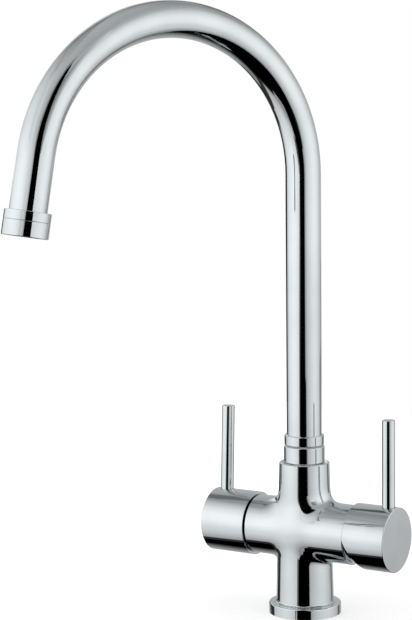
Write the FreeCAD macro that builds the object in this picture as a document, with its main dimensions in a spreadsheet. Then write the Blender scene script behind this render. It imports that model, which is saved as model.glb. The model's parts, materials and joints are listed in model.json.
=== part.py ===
import FreeCAD, Part
import math
import os
from types import SimpleNamespace

import Sketcher

# Three-way kitchen mixer tap with a tall swivel spout.
# The origin is the middle of the base where it stands on the deck. +Z is up and -Y is the front.
# The valve axis runs along X: a quarter-turn valve for filtered water on the -X side,
# and a mixer for hot and cold water, with a handle that turns and tilts, on the +X side.

# Driving dimensions: millimetres, and degrees for angles
driving = {
    # base ring under the column
    "base_ring_diameter": 45.4,
    "base_ring_height": 6.7,
    "base_ring_edge": 0.8,
    "seal_groove_diameter": 36.0,
    "seal_groove_width": 2.6,
    "seal_groove_depth": 2.0,
    # cast body: tapered column crossed by the valve arms
    "foot_diameter": 31.0,
    "column_foot_diameter": 36.2,
    "column_top_diameter": 31.5,
    "axis_height": 53.0,
    "column_flare": 0.9,
    "column_flare_rise": 0.4,
    "column_flare_blend": 0.7,
    "neck_rise": 43.0,
    "neck_edge": 0.9,
    "neck_recess": 1.4,
    "neck_recess_gap": 1.65,
    "arm_diameter": 37.0,
    "arm_reach": 33.4,
    "mixer_arm_reach": 36.2,
    "arm_edge": 0.5,
    "upper_blend": 9.0,
    "lower_blend": 4.5,
    # waterways and threads of the body, at their tapping sizes
    "inlet_bore": 9.0,
    "inlet_depth": 12.0,
    "filter_inlet_x": 8.5,
    "mixer_inlet_x": 7.5,
    "mixer_inlet_y": 5.5,
    "supply_bore": 6.0,
    "stud_bore": 6.8,
    "stud_depth": 16.0,
    "stud_offset": 10.5,
    "seat_bore": 11.0,
    "seat_wall": 4.5,
    "cross_bore": 6.0,
    "cross_reach": 22.0,
    "cross_rise": 11.0,
    "mixed_riser_x": 2.5,
    # swivel: gland, bearing bush, spigot and its seals
    "gland_diameter": 25.6,
    "gland_height": 10.2,
    "gland_wall": 2.3,
    "gland_stem_length": 8.5,
    "gland_edge": 0.5,
    "bush_wall": 1.0,
    "bush_length": 14.0,
    "bush_flange_diameter": 23.6,
    "bush_flange": 0.6,
    "spigot_diameter": 17.0,
    "spigot_bore": 10.6,
    "spigot_clearance": 1.0,
    "spigot_head": 16.0,
    "o_ring_section": 2.1,
    "o_ring_pitch": 5.5,
    "o_ring_end": 3.4,
    "groove_side": 0.25,
    "clip_groove": 1.1,
    "clip_width": 2.8,
    "clip_thickness": 1.2,
    "clip_angle": 300.0,
    # spout: bent tube, its ferrule and the outlet
    "tube_diameter": 22.0,
    "tube_wall": 1.2,
    "arch_start": 276.2,
    "arch_radius": 93.0,
    "arch_sweep": 170.0,
    "leg_length": 32.6,
    "spout_swing": 244.8,
    "ferrule_wall": 1.5,
    "ferrule_height": 6.2,
    "ferrule_edge": 0.5,
    "outlet_wall": 2.6,
    "outlet_bush_length": 5.6,
    "outlet_socket": 2.0,
    "outlet_edge": 0.3,
    "aerator_length": 9.1,
    "aerator_step": 0.8,
    "aerator_wall": 1.6,
    "aerator_lip": 1.2,
    "aerator_lip_depth": 0.7,
    "aerator_edge": 0.4,
    "washer_thickness": 1.0,
    "washer_bore": 16.0,
    "screen_thickness": 1.6,
    "screen_hole": 2.2,
    "screen_inner_ring": 3.6,
    "screen_outer_ring": 7.0,
    "insert_wall": 1.4,
    # filtered-water cartridge, measured along the valve axis from the middle of the body
    "seat_station": 14.0,
    "cartridge_thread": 21.0,
    "skirt_diameter": 19.4,
    "skirt_length": 8.0,
    "hexagon_flats": 24.0,
    "hexagon_height": 4.5,
    "nose_diameter": 13.0,
    "nose_length": 6.0,
    "disc_diameter": 16.0,
    "disc_thickness": 3.2,
    "disc_port": 4.4,
    "disc_port_offset": 4.4,
    "disc_slot": 3.2,
    "disc_slot_depth": 1.2,
    "seat_seal_thickness": 2.0,
    "seat_seal_bore": 11.6,
    "window_width": 6.0,
    "window_length": 5.0,
    "valve_seal_section": 1.4,
    # spindle and what holds it
    "spindle_diameter": 8.0,
    "spindle_plate": 2.5,
    "spline_groove": 0.7,
    "spindle_seal_section": 1.4,
    "spindle_seal_inset": 6.0,
    "spindle_clip_diameter": 12.0,
    "spindle_clip_thickness": 1.0,
    "spindle_clip_depth": 0.8,
    # mixer cartridge: seal, ceramic discs, the guide that turns and the stem that tilts in it
    "nut_depth": 3.2,
    "mixer_bore": 25.2,
    "mixer_thread": 28.4,
    "mixer_thread_depth": 4.0,
    "mixer_seal_thickness": 1.2,
    "mixer_disc_thickness": 3.0,
    "mixer_disc_diameter": 17.0,
    "port_bore": 4.4,
    "port_offset": 5.0,
    "port_rise": 2.8,
    "mixed_port_drop": 4.0,
    "pocket_diameter": 9.2,
    "pocket_drop": 2.4,
    "pocket_depth": 1.2,
    "carrier_length": 5.0,
    "carrier_socket": 4.3,
    "shell_wall": 1.35,
    "shell_front": 1.4,
    "guide_gap": 0.4,
    "guide_inset": 3.8,
    "guide_rise": 3.0,
    "guide_neck": 17.8,
    "guide_lip": 1.0,
    "stem_side": 6.0,
    "stem_swing_room": 11.6,
    "stem_foot": 4.4,
    "stem_foot_inset": 2.0,
    "stem_neck": 2.6,
    "stem_neck_rise": 3.0,
    "pin_diameter": 2.5,
    "pin_length": 18.0,
    "nut_bore": 18.6,
    "nut_crown": 24.8,
    "nut_crown_height": 1.4,
    "nut_notch": 3.0,
    "cover_gap": 0.4,
    "cover_wall": 1.2,
    "cover_opening": 19.6,
    # handles: cap, lever and what fixes them to the spindle or the stem
    "cap_diameter": 40.2,
    "cap_gap": 0.8,
    "cap_length": 30.6,
    "mixer_cap_length": 27.8,
    "tilt_relief": 26.6,
    "cap_wall": 2.6,
    "cap_edge": 0.5,
    "hub_diameter": 17.0,
    "hub_length": 6.8,
    "mixer_hub_gap": 0.6,
    "mixer_grub_inset": 2.6,
    "adaptor_diameter": 11.0,
    "grub_diameter": 4.0,
    "lever_diameter": 8.2,
    "lever_inset": 7.2,
    "mixer_lever_inset": 5.9,
    "lever_lean": 2.5,
    "lever_tip": 74.0,
    "lever_seat": 15.6,
    "lever_edge": 0.6,
    "lever_relief": 0.45,
    "lever_relief_depth": 1.0,
    "lever_stub_diameter": 6.0,
    "lever_stub_length": 6.0,
    # clearances
    "fit_clearance": 0.05,
    "running_clearance": 0.1,
    "swivel_gap": 0.2,
    "clip_gap": 0.3,
    "disc_gap": 0.05,
}
spline_teeth = 20
screen_inner_holes = 6
screen_outer_holes = 12

doc = FreeCAD.newDocument("mixer_tap")
sheet = doc.addObject("Spreadsheet::Sheet", "sizes")
for row, (alias, number) in enumerate(driving.items(), start=1):
    sheet.set(f"A{row}", alias)
    sheet.set(f"B{row}", str(number))
    sheet.setAlias(f"B{row}", alias)
doc.recompute()


class Size:
    # a number together with the expression that works it out from the sheet
    def __init__(self, value, text):
        self.value = value
        self.text = text

    def __add__(self, other):
        other = as_size(other)
        return Size(self.value + other.value, f"({self.text} + {other.text})")

    def __sub__(self, other):
        other = as_size(other)
        return Size(self.value - other.value, f"({self.text} - {other.text})")

    def __mul__(self, other):
        other = as_size(other)
        return Size(self.value * other.value, f"({self.text} * {other.text})")

    def __truediv__(self, other):
        other = as_size(other)
        return Size(self.value / other.value, f"({self.text} / {other.text})")

    def __neg__(self):
        return Size(-self.value, f"(0 - {self.text})")


def as_size(number):
    if isinstance(number, Size):
        return number
    return Size(float(number), repr(float(number)))


def sine(angle):
    return Size(math.sin(math.radians(angle.value)), f"sin({angle.text})")


def cosine(angle):
    return Size(math.cos(math.radians(angle.value)), f"cos({angle.text})")


d = SimpleNamespace(**{alias: Size(float(sheet.get(alias)), f"sizes.{alias}") for alias in driving})
zero = as_size(0)
pieces = {}

# Sizes that several pieces share

neck_height = d.axis_height + d.neck_rise
gland_seat = neck_height - d.neck_recess
gland_top = neck_height + d.gland_height
spout_foot = gland_top + d.bush_flange + d.swivel_gap
gland_bottom = neck_height - d.gland_stem_length
clip_top = gland_bottom - d.clip_gap
clip_bottom = clip_top - d.clip_thickness
gland_bore_floor = clip_bottom - d.clip_gap
cross_height = d.axis_height + d.cross_rise
spigot_bottom = cross_height + d.cross_bore / 2 + d.spigot_clearance
bush_bore = d.spigot_diameter + d.running_clearance * 2
bush_diameter = bush_bore + d.bush_wall * 2
gland_stem = bush_diameter + d.fit_clearance * 2 + d.gland_wall * 2
gland_bore = gland_stem + d.fit_clearance * 2
clip_bore = d.spigot_diameter - d.clip_groove * 2
seal_bore = d.spigot_diameter + d.running_clearance * 4
o_ring_radius = seal_bore / 2 - d.fit_clearance - d.o_ring_section / 2
o_ring_floor = o_ring_radius - d.o_ring_section / 2 - d.fit_clearance
tube_bore = d.tube_diameter - d.tube_wall * 2
tube_seat = d.tube_diameter / 2 + d.fit_clearance

cap_outside = d.cap_diameter / 2
cap_inside = cap_outside - d.cap_wall
hub_radius = d.hub_diameter / 2
cap_start = d.arm_reach + d.cap_gap
cap_end = cap_start + d.cap_length
lever_station = cap_end - d.lever_inset

fixed_disc_start = d.seat_station + d.seat_seal_thickness
moving_disc_start = fixed_disc_start + d.disc_thickness + d.disc_gap
plate_start = moving_disc_start + d.disc_thickness + d.disc_gap
plate_end = plate_start + d.spindle_plate
disc_chamber = d.disc_diameter + d.running_clearance * 2
nose_end = d.arm_reach + d.hexagon_height + d.nose_length
spindle_bore = d.spindle_diameter + d.running_clearance * 2
spindle_clip_start = nose_end + d.clip_gap
spline_start = spindle_clip_start + d.spindle_clip_thickness + d.clip_gap
hub_start = spline_start + d.clip_gap
cap_floor = hub_start + d.hub_length
spindle_end = cap_floor - d.clip_gap
spindle_seal_station = nose_end - d.spindle_seal_inset
spindle_seal_radius = spindle_bore / 2 - d.fit_clearance - d.spindle_seal_section / 2
spindle_seal_floor = spindle_seal_radius - d.spindle_seal_section / 2 - d.fit_clearance
spindle_clip_floor = d.spindle_diameter / 2 - d.spindle_clip_depth
spline_bore = d.spindle_diameter + d.running_clearance * 2
valve_seal_radius = d.cartridge_thread / 2 - d.fit_clearance - d.valve_seal_section / 2
valve_seal_floor = valve_seal_radius - d.valve_seal_section / 2 - d.fit_clearance
valve_seal_room = d.valve_seal_section + d.groove_side * 2

mixer_chamber = d.mixer_bore / 2 - d.fit_clearance - d.shell_wall
shell_end = d.mixer_arm_reach - d.nut_depth
shell_front_start = shell_end - d.shell_front
guide_shoulder = shell_front_start - d.running_clearance
pivot = guide_shoulder - d.guide_rise
guide_start = pivot - d.guide_inset
carrier_end = guide_start - d.guide_gap
carrier_start = carrier_end - d.carrier_length
foot_station = carrier_end - d.stem_foot_inset
mixer_moving_end = carrier_start - d.disc_gap
mixer_moving_start = mixer_moving_end - d.mixer_disc_thickness
mixer_fixed_end = mixer_moving_start - d.disc_gap
mixer_fixed_start = mixer_fixed_end - d.mixer_disc_thickness
mixer_seat = mixer_fixed_start - d.mixer_seal_thickness
cover_radius = cap_inside - d.cover_gap
mixer_cap_start = d.mixer_arm_reach + d.cap_gap
mixer_cap_end = mixer_cap_start + d.mixer_cap_length
mixer_lever_station = mixer_cap_end - d.mixer_lever_inset
mixer_hub_start = pivot + cover_radius + d.mixer_hub_gap
mixer_cap_floor = mixer_hub_start + d.hub_length
mixer_grub_station = mixer_cap_floor - d.mixer_grub_inset


# Ways of making a piece

def place(item, x=zero, y=zero, z=zero, yaw=zero, pitch=zero, roll=zero):
    base = f"vector({as_size(x).text}; {as_size(y).text}; {as_size(z).text})"
    turn = f"rotation({as_size(yaw).text}; {as_size(pitch).text}; {as_size(roll).text})"
    item.setExpression("Placement", f"placement({base}; {turn})")


def piece(name):
    body = doc.addObject("PartDesign::Body", name)
    body.Label = name
    pieces[name] = body
    return body


def origin_part(body, role):
    return next(item for item in body.Origin.OriginFeatures if item.Role == role)


def sketch_on(body, role, name):
    sketch = body.newObject("Sketcher::SketchObject", name)
    sketch.AttachmentSupport = [(origin_part(body, role), "")]
    sketch.MapMode = "FlatFace"
    return sketch


def dimension(sketch, kind, target, size):
    index = sketch.addConstraint(Sketcher.Constraint(kind, *target, size.value))
    sketch.setExpression(f"Constraints[{index}]", size.text)


def pin_corner(sketch, line, across, along):
    # each corner is dimensioned from the origin, or lies on the axis itself
    if across is zero:
        sketch.addConstraint(Sketcher.Constraint("PointOnObject", line, 1, -2))
    else:
        dimension(sketch, "DistanceX", (-1, 1, line, 1), across)
    if along is zero:
        sketch.addConstraint(Sketcher.Constraint("PointOnObject", line, 1, -1))
    else:
        dimension(sketch, "DistanceY", (-1, 1, line, 1), along)


def turned(body, outline, name="turning", angle=None):
    # a closed outline of (radius, height) corners, turned about the upright axis
    sketch = sketch_on(body, "XZ_Plane", f"{name}_outline")
    corners = [FreeCAD.Vector(across.value, along.value, 0) for across, along in outline]
    count = len(corners)
    for index in range(count):
        sketch.addGeometry(Part.LineSegment(corners[index], corners[(index + 1) % count]))
    for index in range(count):
        sketch.addConstraint(Sketcher.Constraint("Coincident", index, 2, (index + 1) % count, 1))
    for index, (across, along) in enumerate(outline):
        pin_corner(sketch, index, across, along)
    turning = body.newObject("PartDesign::Revolution", name)
    turning.Profile = sketch
    turning.ReferenceAxis = (sketch, ["V_Axis"])
    if angle is None:
        turning.Angle = 360
    else:
        turning.setExpression("Angle", angle.text)
    return turning


def ring_outline(inner, outer, low, high):
    return [(inner, low), (outer, low), (outer, high), (inner, high)]


def cylinder(body, kind, name, diameter, height, **where):
    made = body.newObject(f"PartDesign::{kind}Cylinder", name)
    made.setExpression("Radius", (diameter / 2).text)
    made.setExpression("Height", height.text)
    place(made, **where)
    return made


def drill(body, name, diameter, depth, **where):
    return cylinder(body, "Subtractive", name, diameter, depth, **where)


def ball(body, kind, name, radius, z):
    made = body.newObject(f"PartDesign::{kind}Sphere", name)
    made.setExpression("Radius", radius.text)
    place(made, z=z)


def block(body, kind, name, length, width, height, **where):
    made = body.newObject(f"PartDesign::{kind}Box", name)
    made.setExpression("Length", length.text)
    made.setExpression("Width", width.text)
    made.setExpression("Height", height.text)
    place(made, **where)


def slot(body, name, length, width, height, z):
    # a rectangular cut across the axis, centred on it
    block(body, "Subtractive", name, length, width, height, x=-length / 2, y=-width / 2, z=z)


def repeat(body, name, feature, count):
    pattern = body.newObject("PartDesign::PolarPattern", name)
    pattern.Originals = [feature]
    pattern.Axis = (origin_part(body, "Z_Axis"), [""])
    pattern.Angle = 360
    pattern.Occurrences = count
    body.Tip = pattern
    return pattern


def rim(radius, height):
    # picks the round edges of one radius at one height
    def chosen(edge):
        if not isinstance(edge.Curve, Part.Circle):
            return False
        right_size = abs(edge.Curve.Radius - radius.value) < 1e-4
        return right_size and abs(edge.Curve.Center.z - height.value) < 1e-4
    return chosen


def soften(body, name, radius, chosen):
    doc.recompute()
    base = body.Tip
    edges = [f"Edge{number}" for number, edge in enumerate(base.Shape.Edges, start=1) if chosen(edge)]
    if not edges:
        raise RuntimeError(f"{body.Label}: {name} found no edge")
    made = body.newObject("PartDesign::Fillet", name)
    made.Base = (base, edges)
    made.setExpression("Radius", radius.text)


def o_ring(name, radius, section):
    ring = doc.addObject("Part::Torus", name)
    ring.Label = name
    ring.setExpression("Radius1", radius.text)
    ring.setExpression("Radius2", (section / 2).text)
    return ring


# Base

def make_base():
    bore = d.foot_diameter / 2 + d.fit_clearance
    groove_out = d.seal_groove_diameter / 2 + d.seal_groove_width / 2
    groove_in = d.seal_groove_diameter / 2 - d.seal_groove_width / 2
    outside = d.base_ring_diameter / 2
    ring = piece("base_ring")
    turned(ring, [(bore, zero), (groove_in, zero), (groove_in, d.seal_groove_depth),
                  (groove_out, d.seal_groove_depth), (groove_out, zero), (outside, zero),
                  (outside, d.base_ring_height), (bore, d.base_ring_height)])
    soften(ring, "top_edge", d.base_ring_edge, rim(outside, d.base_ring_height))
    seal = piece("base_seal")
    turned(seal, ring_outline(groove_in + d.fit_clearance, groove_out - d.fit_clearance,
                              zero, d.seal_groove_depth))


# Cast body

def blend_edge(above):
    # the curved seams where the column leaves the arms, above or below the valve axis
    def chosen(edge):
        if isinstance(edge.Curve, (Part.Circle, Part.Line)):
            return False
        middle = edge.BoundBox.Center.z
        return (middle > d.axis_height.value) == above
    return chosen


def arm_rim(edge):
    station = edge.BoundBox.Center.x
    at_arm_face = min(abs(station + d.arm_reach.value), abs(station - d.mixer_arm_reach.value)) < 1e-4
    return isinstance(edge.Curve, Part.Circle) and at_arm_face


def make_body():
    body = piece("body_casting")
    foot = d.foot_diameter / 2
    column_foot = d.column_foot_diameter / 2
    flare = column_foot + d.column_flare
    flare_top = d.base_ring_height + d.column_flare_rise
    turned(body, [(zero, zero), (foot, zero), (foot, d.base_ring_height), (flare, d.base_ring_height),
                  (flare, flare_top), (column_foot, flare_top),
                  (d.column_top_diameter / 2, neck_height), (zero, neck_height)], "column")
    soften(body, "column_flare", d.column_flare_blend, rim(column_foot, flare_top))
    cylinder(body, "Additive", "arms", d.arm_diameter, d.arm_reach + d.mixer_arm_reach,
             x=-d.arm_reach, z=d.axis_height, pitch=90)
    soften(body, "upper_blend", d.upper_blend, blend_edge(True))
    soften(body, "lower_blend", d.lower_blend, blend_edge(False))
    soften(body, "neck_edge", d.neck_edge, rim(d.column_top_diameter / 2, neck_height))
    soften(body, "arm_edges", d.arm_edge, arm_rim)

    # the swivel's bores from the top of the neck, where its gland stands in a shallow recess
    drill(body, "neck_recess", d.gland_diameter + d.neck_recess_gap * 2, d.neck_recess, z=gland_seat)
    drill(body, "gland_bore", gland_bore, neck_height - gland_bore_floor, z=gland_bore_floor)
    drill(body, "seal_bore", seal_bore, gland_bore_floor - cross_height, z=cross_height)

    # filtered water: up from its inlet, through the seat and across to the spout
    drill(body, "filter_cartridge_bore", d.cartridge_thread, d.arm_reach - d.seat_station,
          x=-d.seat_station, z=d.axis_height, yaw=180, pitch=90)
    drill(body, "filter_seat_bore", d.seat_bore, d.seat_station - d.seat_wall,
          x=-d.seat_wall, z=d.axis_height, yaw=180, pitch=90)
    drill(body, "filter_inlet", d.inlet_bore, d.inlet_depth, x=-d.filter_inlet_x)
    drill(body, "filter_supply", d.supply_bore, d.axis_height, x=-d.filter_inlet_x)
    drill(body, "cross_bore", d.cross_bore, d.cross_reach, x=-d.cross_reach, z=cross_height, pitch=90)

    # hot and cold water: up to the two upper ports of the mixer, and mixed water back from the lower one
    drill(body, "mixer_cartridge_bore", d.mixer_bore, d.mixer_arm_reach - mixer_seat,
          x=mixer_seat, z=d.axis_height, pitch=90)
    drill(body, "mixer_nut_thread", d.mixer_thread, d.mixer_thread_depth,
          x=d.mixer_arm_reach - d.mixer_thread_depth, z=d.axis_height, pitch=90)
    port_height = d.axis_height + d.port_rise
    sides = (("hot", -d.mixer_inlet_y, -d.port_offset), ("cold", d.mixer_inlet_y, d.port_offset))
    for side, inlet_y, port_y in sides:
        drill(body, f"{side}_inlet", d.inlet_bore, d.inlet_depth, x=d.mixer_inlet_x, y=inlet_y)
        drill(body, f"{side}_supply", d.supply_bore, port_height, x=d.mixer_inlet_x, y=inlet_y)
        drill(body, f"{side}_port", d.port_bore, mixer_seat - d.mixer_inlet_x,
              x=d.mixer_inlet_x, y=port_y, z=port_height, pitch=90)
    mixed_height = d.axis_height - d.mixed_port_drop
    drill(body, "mixed_port", d.port_bore, mixer_seat - d.mixed_riser_x,
          x=d.mixed_riser_x, z=mixed_height, pitch=90)
    drill(body, "mixed_riser", d.supply_bore, cross_height - mixed_height, x=d.mixed_riser_x, z=mixed_height)
    drill(body, "stud_hole", d.stud_bore, d.stud_depth, y=d.stud_offset)


# Swivel, from the gland up to the foot of the spout

def make_swivel():
    gland = piece("spout_gland")
    stem = gland_stem / 2
    bore = bush_diameter / 2 + d.fit_clearance
    outside = d.gland_diameter / 2
    turned(gland, [(bore, gland_bottom), (stem, gland_bottom), (stem, gland_seat),
                   (outside, gland_seat), (outside, gland_top), (bore, gland_top)])
    soften(gland, "top_edge", d.gland_edge, rim(outside, gland_top))

    bush = piece("swivel_bush")
    bush_bottom = gland_top - d.bush_length
    flange_top = gland_top + d.bush_flange
    barrel = bush_diameter / 2
    flange = d.bush_flange_diameter / 2
    turned(bush, [(bush_bore / 2, bush_bottom), (barrel, bush_bottom), (barrel, gland_top),
                  (flange, gland_top), (flange, flange_top), (bush_bore / 2, flange_top)])

    spigot = piece("spout_spigot")
    shank = d.spigot_diameter / 2
    inside = d.spigot_bore / 2
    head = tube_bore / 2 - d.fit_clearance
    groove_half = d.o_ring_section / 2 + d.groove_side
    lower_ring = spigot_bottom + d.o_ring_end
    upper_ring = lower_ring + d.o_ring_pitch
    clip_floor = clip_bore / 2 - d.fit_clearance
    outline = [(inside, spigot_bottom), (shank, spigot_bottom)]
    for height in (lower_ring, upper_ring):
        outline += [(shank, height - groove_half), (o_ring_floor, height - groove_half),
                    (o_ring_floor, height + groove_half), (shank, height + groove_half)]
    outline += [(shank, clip_bottom - d.fit_clearance), (clip_floor, clip_bottom - d.fit_clearance),
                (clip_floor, clip_top + d.fit_clearance), (shank, clip_top + d.fit_clearance),
                (shank, spout_foot), (head, spout_foot), (head, spout_foot + d.spigot_head),
                (inside, spout_foot + d.spigot_head)]
    turned(spigot, outline)

    rings = [o_ring(f"spout_o_ring_{place_name}", o_ring_radius, d.o_ring_section)
             for place_name in ("lower", "upper")]
    for ring, height in zip(rings, (lower_ring, upper_ring)):
        place(ring, z=height)
    pair = doc.addObject("Part::Compound", "spout_o_rings")
    pair.Label = "spout_o_rings"
    pair.Links = rings
    pieces["spout_o_rings"] = pair

    clip = piece("spout_clip")
    clip_inside = clip_bore / 2
    clip_outside = clip_inside + d.clip_width
    turned(clip, ring_outline(clip_inside, clip_outside, clip_bottom, clip_top), angle=d.clip_angle)


# Spout

def make_spout():
    tube = piece("spout_tube")
    section = sketch_on(tube, "XY_Plane", "section")
    for index, diameter in enumerate((d.tube_diameter, tube_bore)):
        section.addGeometry(Part.Circle(FreeCAD.Vector(), FreeCAD.Vector(0, 0, 1), diameter.value / 2))
        section.addConstraint(Sketcher.Constraint("Coincident", index, 3, -1, 1))
        dimension(section, "Diameter", (index,), diameter)

    # the centre line: a riser, the arch and a short leg that runs into the outlet bush
    riser = d.arch_start - spout_foot
    leg = d.leg_length + d.outlet_socket
    sweep = math.radians(d.arch_sweep.value)
    radius = d.arch_radius.value
    centre = FreeCAD.Vector(radius, riser.value, 0)
    arch_end = centre + FreeCAD.Vector(-math.cos(sweep), math.sin(sweep), 0) * radius
    leg_end = arch_end + FreeCAD.Vector(math.sin(sweep), math.cos(sweep), 0) * leg.value
    path = sketch_on(tube, "XZ_Plane", "centre_line")
    riser_line = path.addGeometry(Part.LineSegment(FreeCAD.Vector(), FreeCAD.Vector(0, riser.value, 0)))
    full_circle = Part.Circle(centre, FreeCAD.Vector(0, 0, 1), radius)
    arch = path.addGeometry(Part.ArcOfCircle(full_circle, math.pi - sweep, math.pi))
    leg_line = path.addGeometry(Part.LineSegment(arch_end, leg_end))
    path.addConstraint(Sketcher.Constraint("Coincident", riser_line, 1, -1, 1))
    path.addConstraint(Sketcher.Constraint("Vertical", riser_line))
    path.addConstraint(Sketcher.Constraint("Tangent", riser_line, 2, arch, 2))
    path.addConstraint(Sketcher.Constraint("Tangent", arch, 1, leg_line, 1))
    dimension(path, "Distance", (riser_line,), riser)
    dimension(path, "Radius", (arch,), d.arch_radius)
    sweep_index = path.addConstraint(Sketcher.Constraint("Angle", arch, sweep))
    path.setExpression(f"Constraints[{sweep_index}]", f"{d.arch_sweep.text} * 1 deg")
    dimension(path, "Distance", (leg_line,), leg)
    doc.recompute()
    pipe = tube.newObject("PartDesign::AdditivePipe", "bent_tube")
    pipe.Profile = section
    pipe.Spine = path
    place(tube, z=spout_foot, yaw=d.spout_swing)

    ferrule = piece("spout_ferrule")
    ferrule_top = spout_foot + d.ferrule_height
    ferrule_radius = d.tube_diameter / 2 + d.ferrule_wall
    turned(ferrule, ring_outline(tube_seat, ferrule_radius, spout_foot, ferrule_top))
    soften(ferrule, "top_edge", d.ferrule_edge, rim(ferrule_radius, ferrule_top))
    soften(ferrule, "bottom_edge", d.ferrule_edge, rim(ferrule_radius, spout_foot))


# Outlet: heights run along the flow from the top of the outlet bush

def place_at_outlet(item):
    reach = d.arch_radius * (as_size(1) - cosine(d.arch_sweep)) + d.leg_length * sine(d.arch_sweep)
    height = d.arch_start + d.arch_radius * sine(d.arch_sweep) + d.leg_length * cosine(d.arch_sweep)
    place(item, x=reach * cosine(d.spout_swing), y=reach * sine(d.spout_swing), z=height,
          yaw=d.spout_swing, pitch=d.arch_sweep)


def make_outlet():
    outside = d.tube_diameter / 2 + d.outlet_wall
    bush_end = d.outlet_bush_length
    housing_end = bush_end + d.aerator_length
    thread = d.tube_diameter / 2 + d.aerator_step
    washer_end = d.outlet_socket + d.washer_thickness
    inside = thread - d.aerator_wall
    lip = inside - d.aerator_lip_depth
    screen_top = housing_end - d.aerator_lip - d.screen_thickness

    bush = piece("outlet_bush")
    thread_bore = thread + d.fit_clearance
    turned(bush, [(tube_seat, zero), (outside, zero), (outside, bush_end), (thread_bore, bush_end),
                  (thread_bore, d.outlet_socket), (tube_seat, d.outlet_socket)])
    soften(bush, "end_edges", d.outlet_edge, rim(outside, zero))
    soften(bush, "joint_edge", d.outlet_edge, rim(outside, bush_end))

    housing = piece("aerator_housing")
    turned(housing, [(inside, washer_end), (thread, washer_end), (thread, bush_end), (outside, bush_end),
                     (outside, housing_end), (lip, housing_end), (lip, housing_end - d.aerator_lip),
                     (inside, housing_end - d.aerator_lip)])
    soften(housing, "joint_edge", d.outlet_edge, rim(outside, bush_end))
    soften(housing, "mouth_edge", d.aerator_edge, rim(outside, housing_end))

    washer = piece("aerator_washer")
    turned(washer, ring_outline(d.washer_bore / 2, thread - d.fit_clearance, d.outlet_socket, washer_end))

    insert = piece("aerator_insert")
    insert_out = inside - d.fit_clearance
    turned(insert, ring_outline(insert_out - d.insert_wall, insert_out, washer_end, screen_top))

    screen = piece("aerator_screen")
    turned(screen, ring_outline(zero, insert_out, screen_top, screen_top + d.screen_thickness))
    drill(screen, "middle_hole", d.screen_hole, d.screen_thickness, z=screen_top)
    rings = (("inner", d.screen_inner_ring, screen_inner_holes),
             ("outer", d.screen_outer_ring, screen_outer_holes))
    for ring_name, radius, count in rings:
        hole = drill(screen, f"{ring_name}_hole", d.screen_hole, d.screen_thickness, x=radius, z=screen_top)
        repeat(screen, f"{ring_name}_holes", hole, count)

    for item in (bush, housing, washer, insert, screen):
        place_at_outlet(item)


# Filtered-water cartridge: heights run along the valve axis from the middle of the body

def make_cartridge():
    shell = piece("filter_valve_body")
    skirt = d.skirt_diameter / 2
    thread = d.cartridge_thread / 2 - d.fit_clearance
    chamber = disc_chamber / 2
    skirt_start = d.seat_station + d.fit_clearance
    skirt_end = skirt_start + d.skirt_length
    chamber_end = plate_end + d.clip_gap
    thread_end = d.arm_reach - valve_seal_room
    nose = d.nose_diameter / 2
    turned(shell, [(chamber, skirt_start), (skirt, skirt_start), (skirt, skirt_end), (thread, skirt_end),
                   (thread, thread_end), (valve_seal_floor, thread_end), (valve_seal_floor, d.arm_reach),
                   (nose, d.arm_reach), (nose, nose_end), (spindle_bore / 2, nose_end),
                   (spindle_bore / 2, chamber_end), (chamber, chamber_end)])
    hexagon = shell.newObject("PartDesign::AdditivePrism", "hexagon")
    hexagon.Polygon = 6
    hexagon.setExpression("Circumradius", f"{d.hexagon_flats.text} / sqrt(3)")
    hexagon.setExpression("Height", d.hexagon_height.text)
    place(hexagon, z=d.arm_reach)
    drill(shell, "spindle_way", spindle_bore, nose_end - chamber_end, z=chamber_end)
    slot(shell, "water_windows", d.cartridge_thread * 2, d.window_width, d.window_length,
         skirt_end - d.window_length)

    seal = piece("filter_seat_seal")
    turned(seal, ring_outline(d.seat_seal_bore / 2, d.disc_diameter / 2, d.seat_station, fixed_disc_start))

    still = piece("filter_fixed_disc")
    fixed_disc_end = fixed_disc_start + d.disc_thickness
    turned(still, ring_outline(zero, d.disc_diameter / 2, fixed_disc_start, fixed_disc_end))
    port = drill(still, "port", d.disc_port, d.disc_thickness, y=d.disc_port_offset, z=fixed_disc_start)
    repeat(still, "ports", port, 2)

    outer_seal = o_ring("filter_valve_o_ring", valve_seal_radius, d.valve_seal_section)
    pieces["filter_valve_o_ring"] = outer_seal
    return [shell, seal, still]


# Everything that turns with the filtered-water lever, along the same axis

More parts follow.
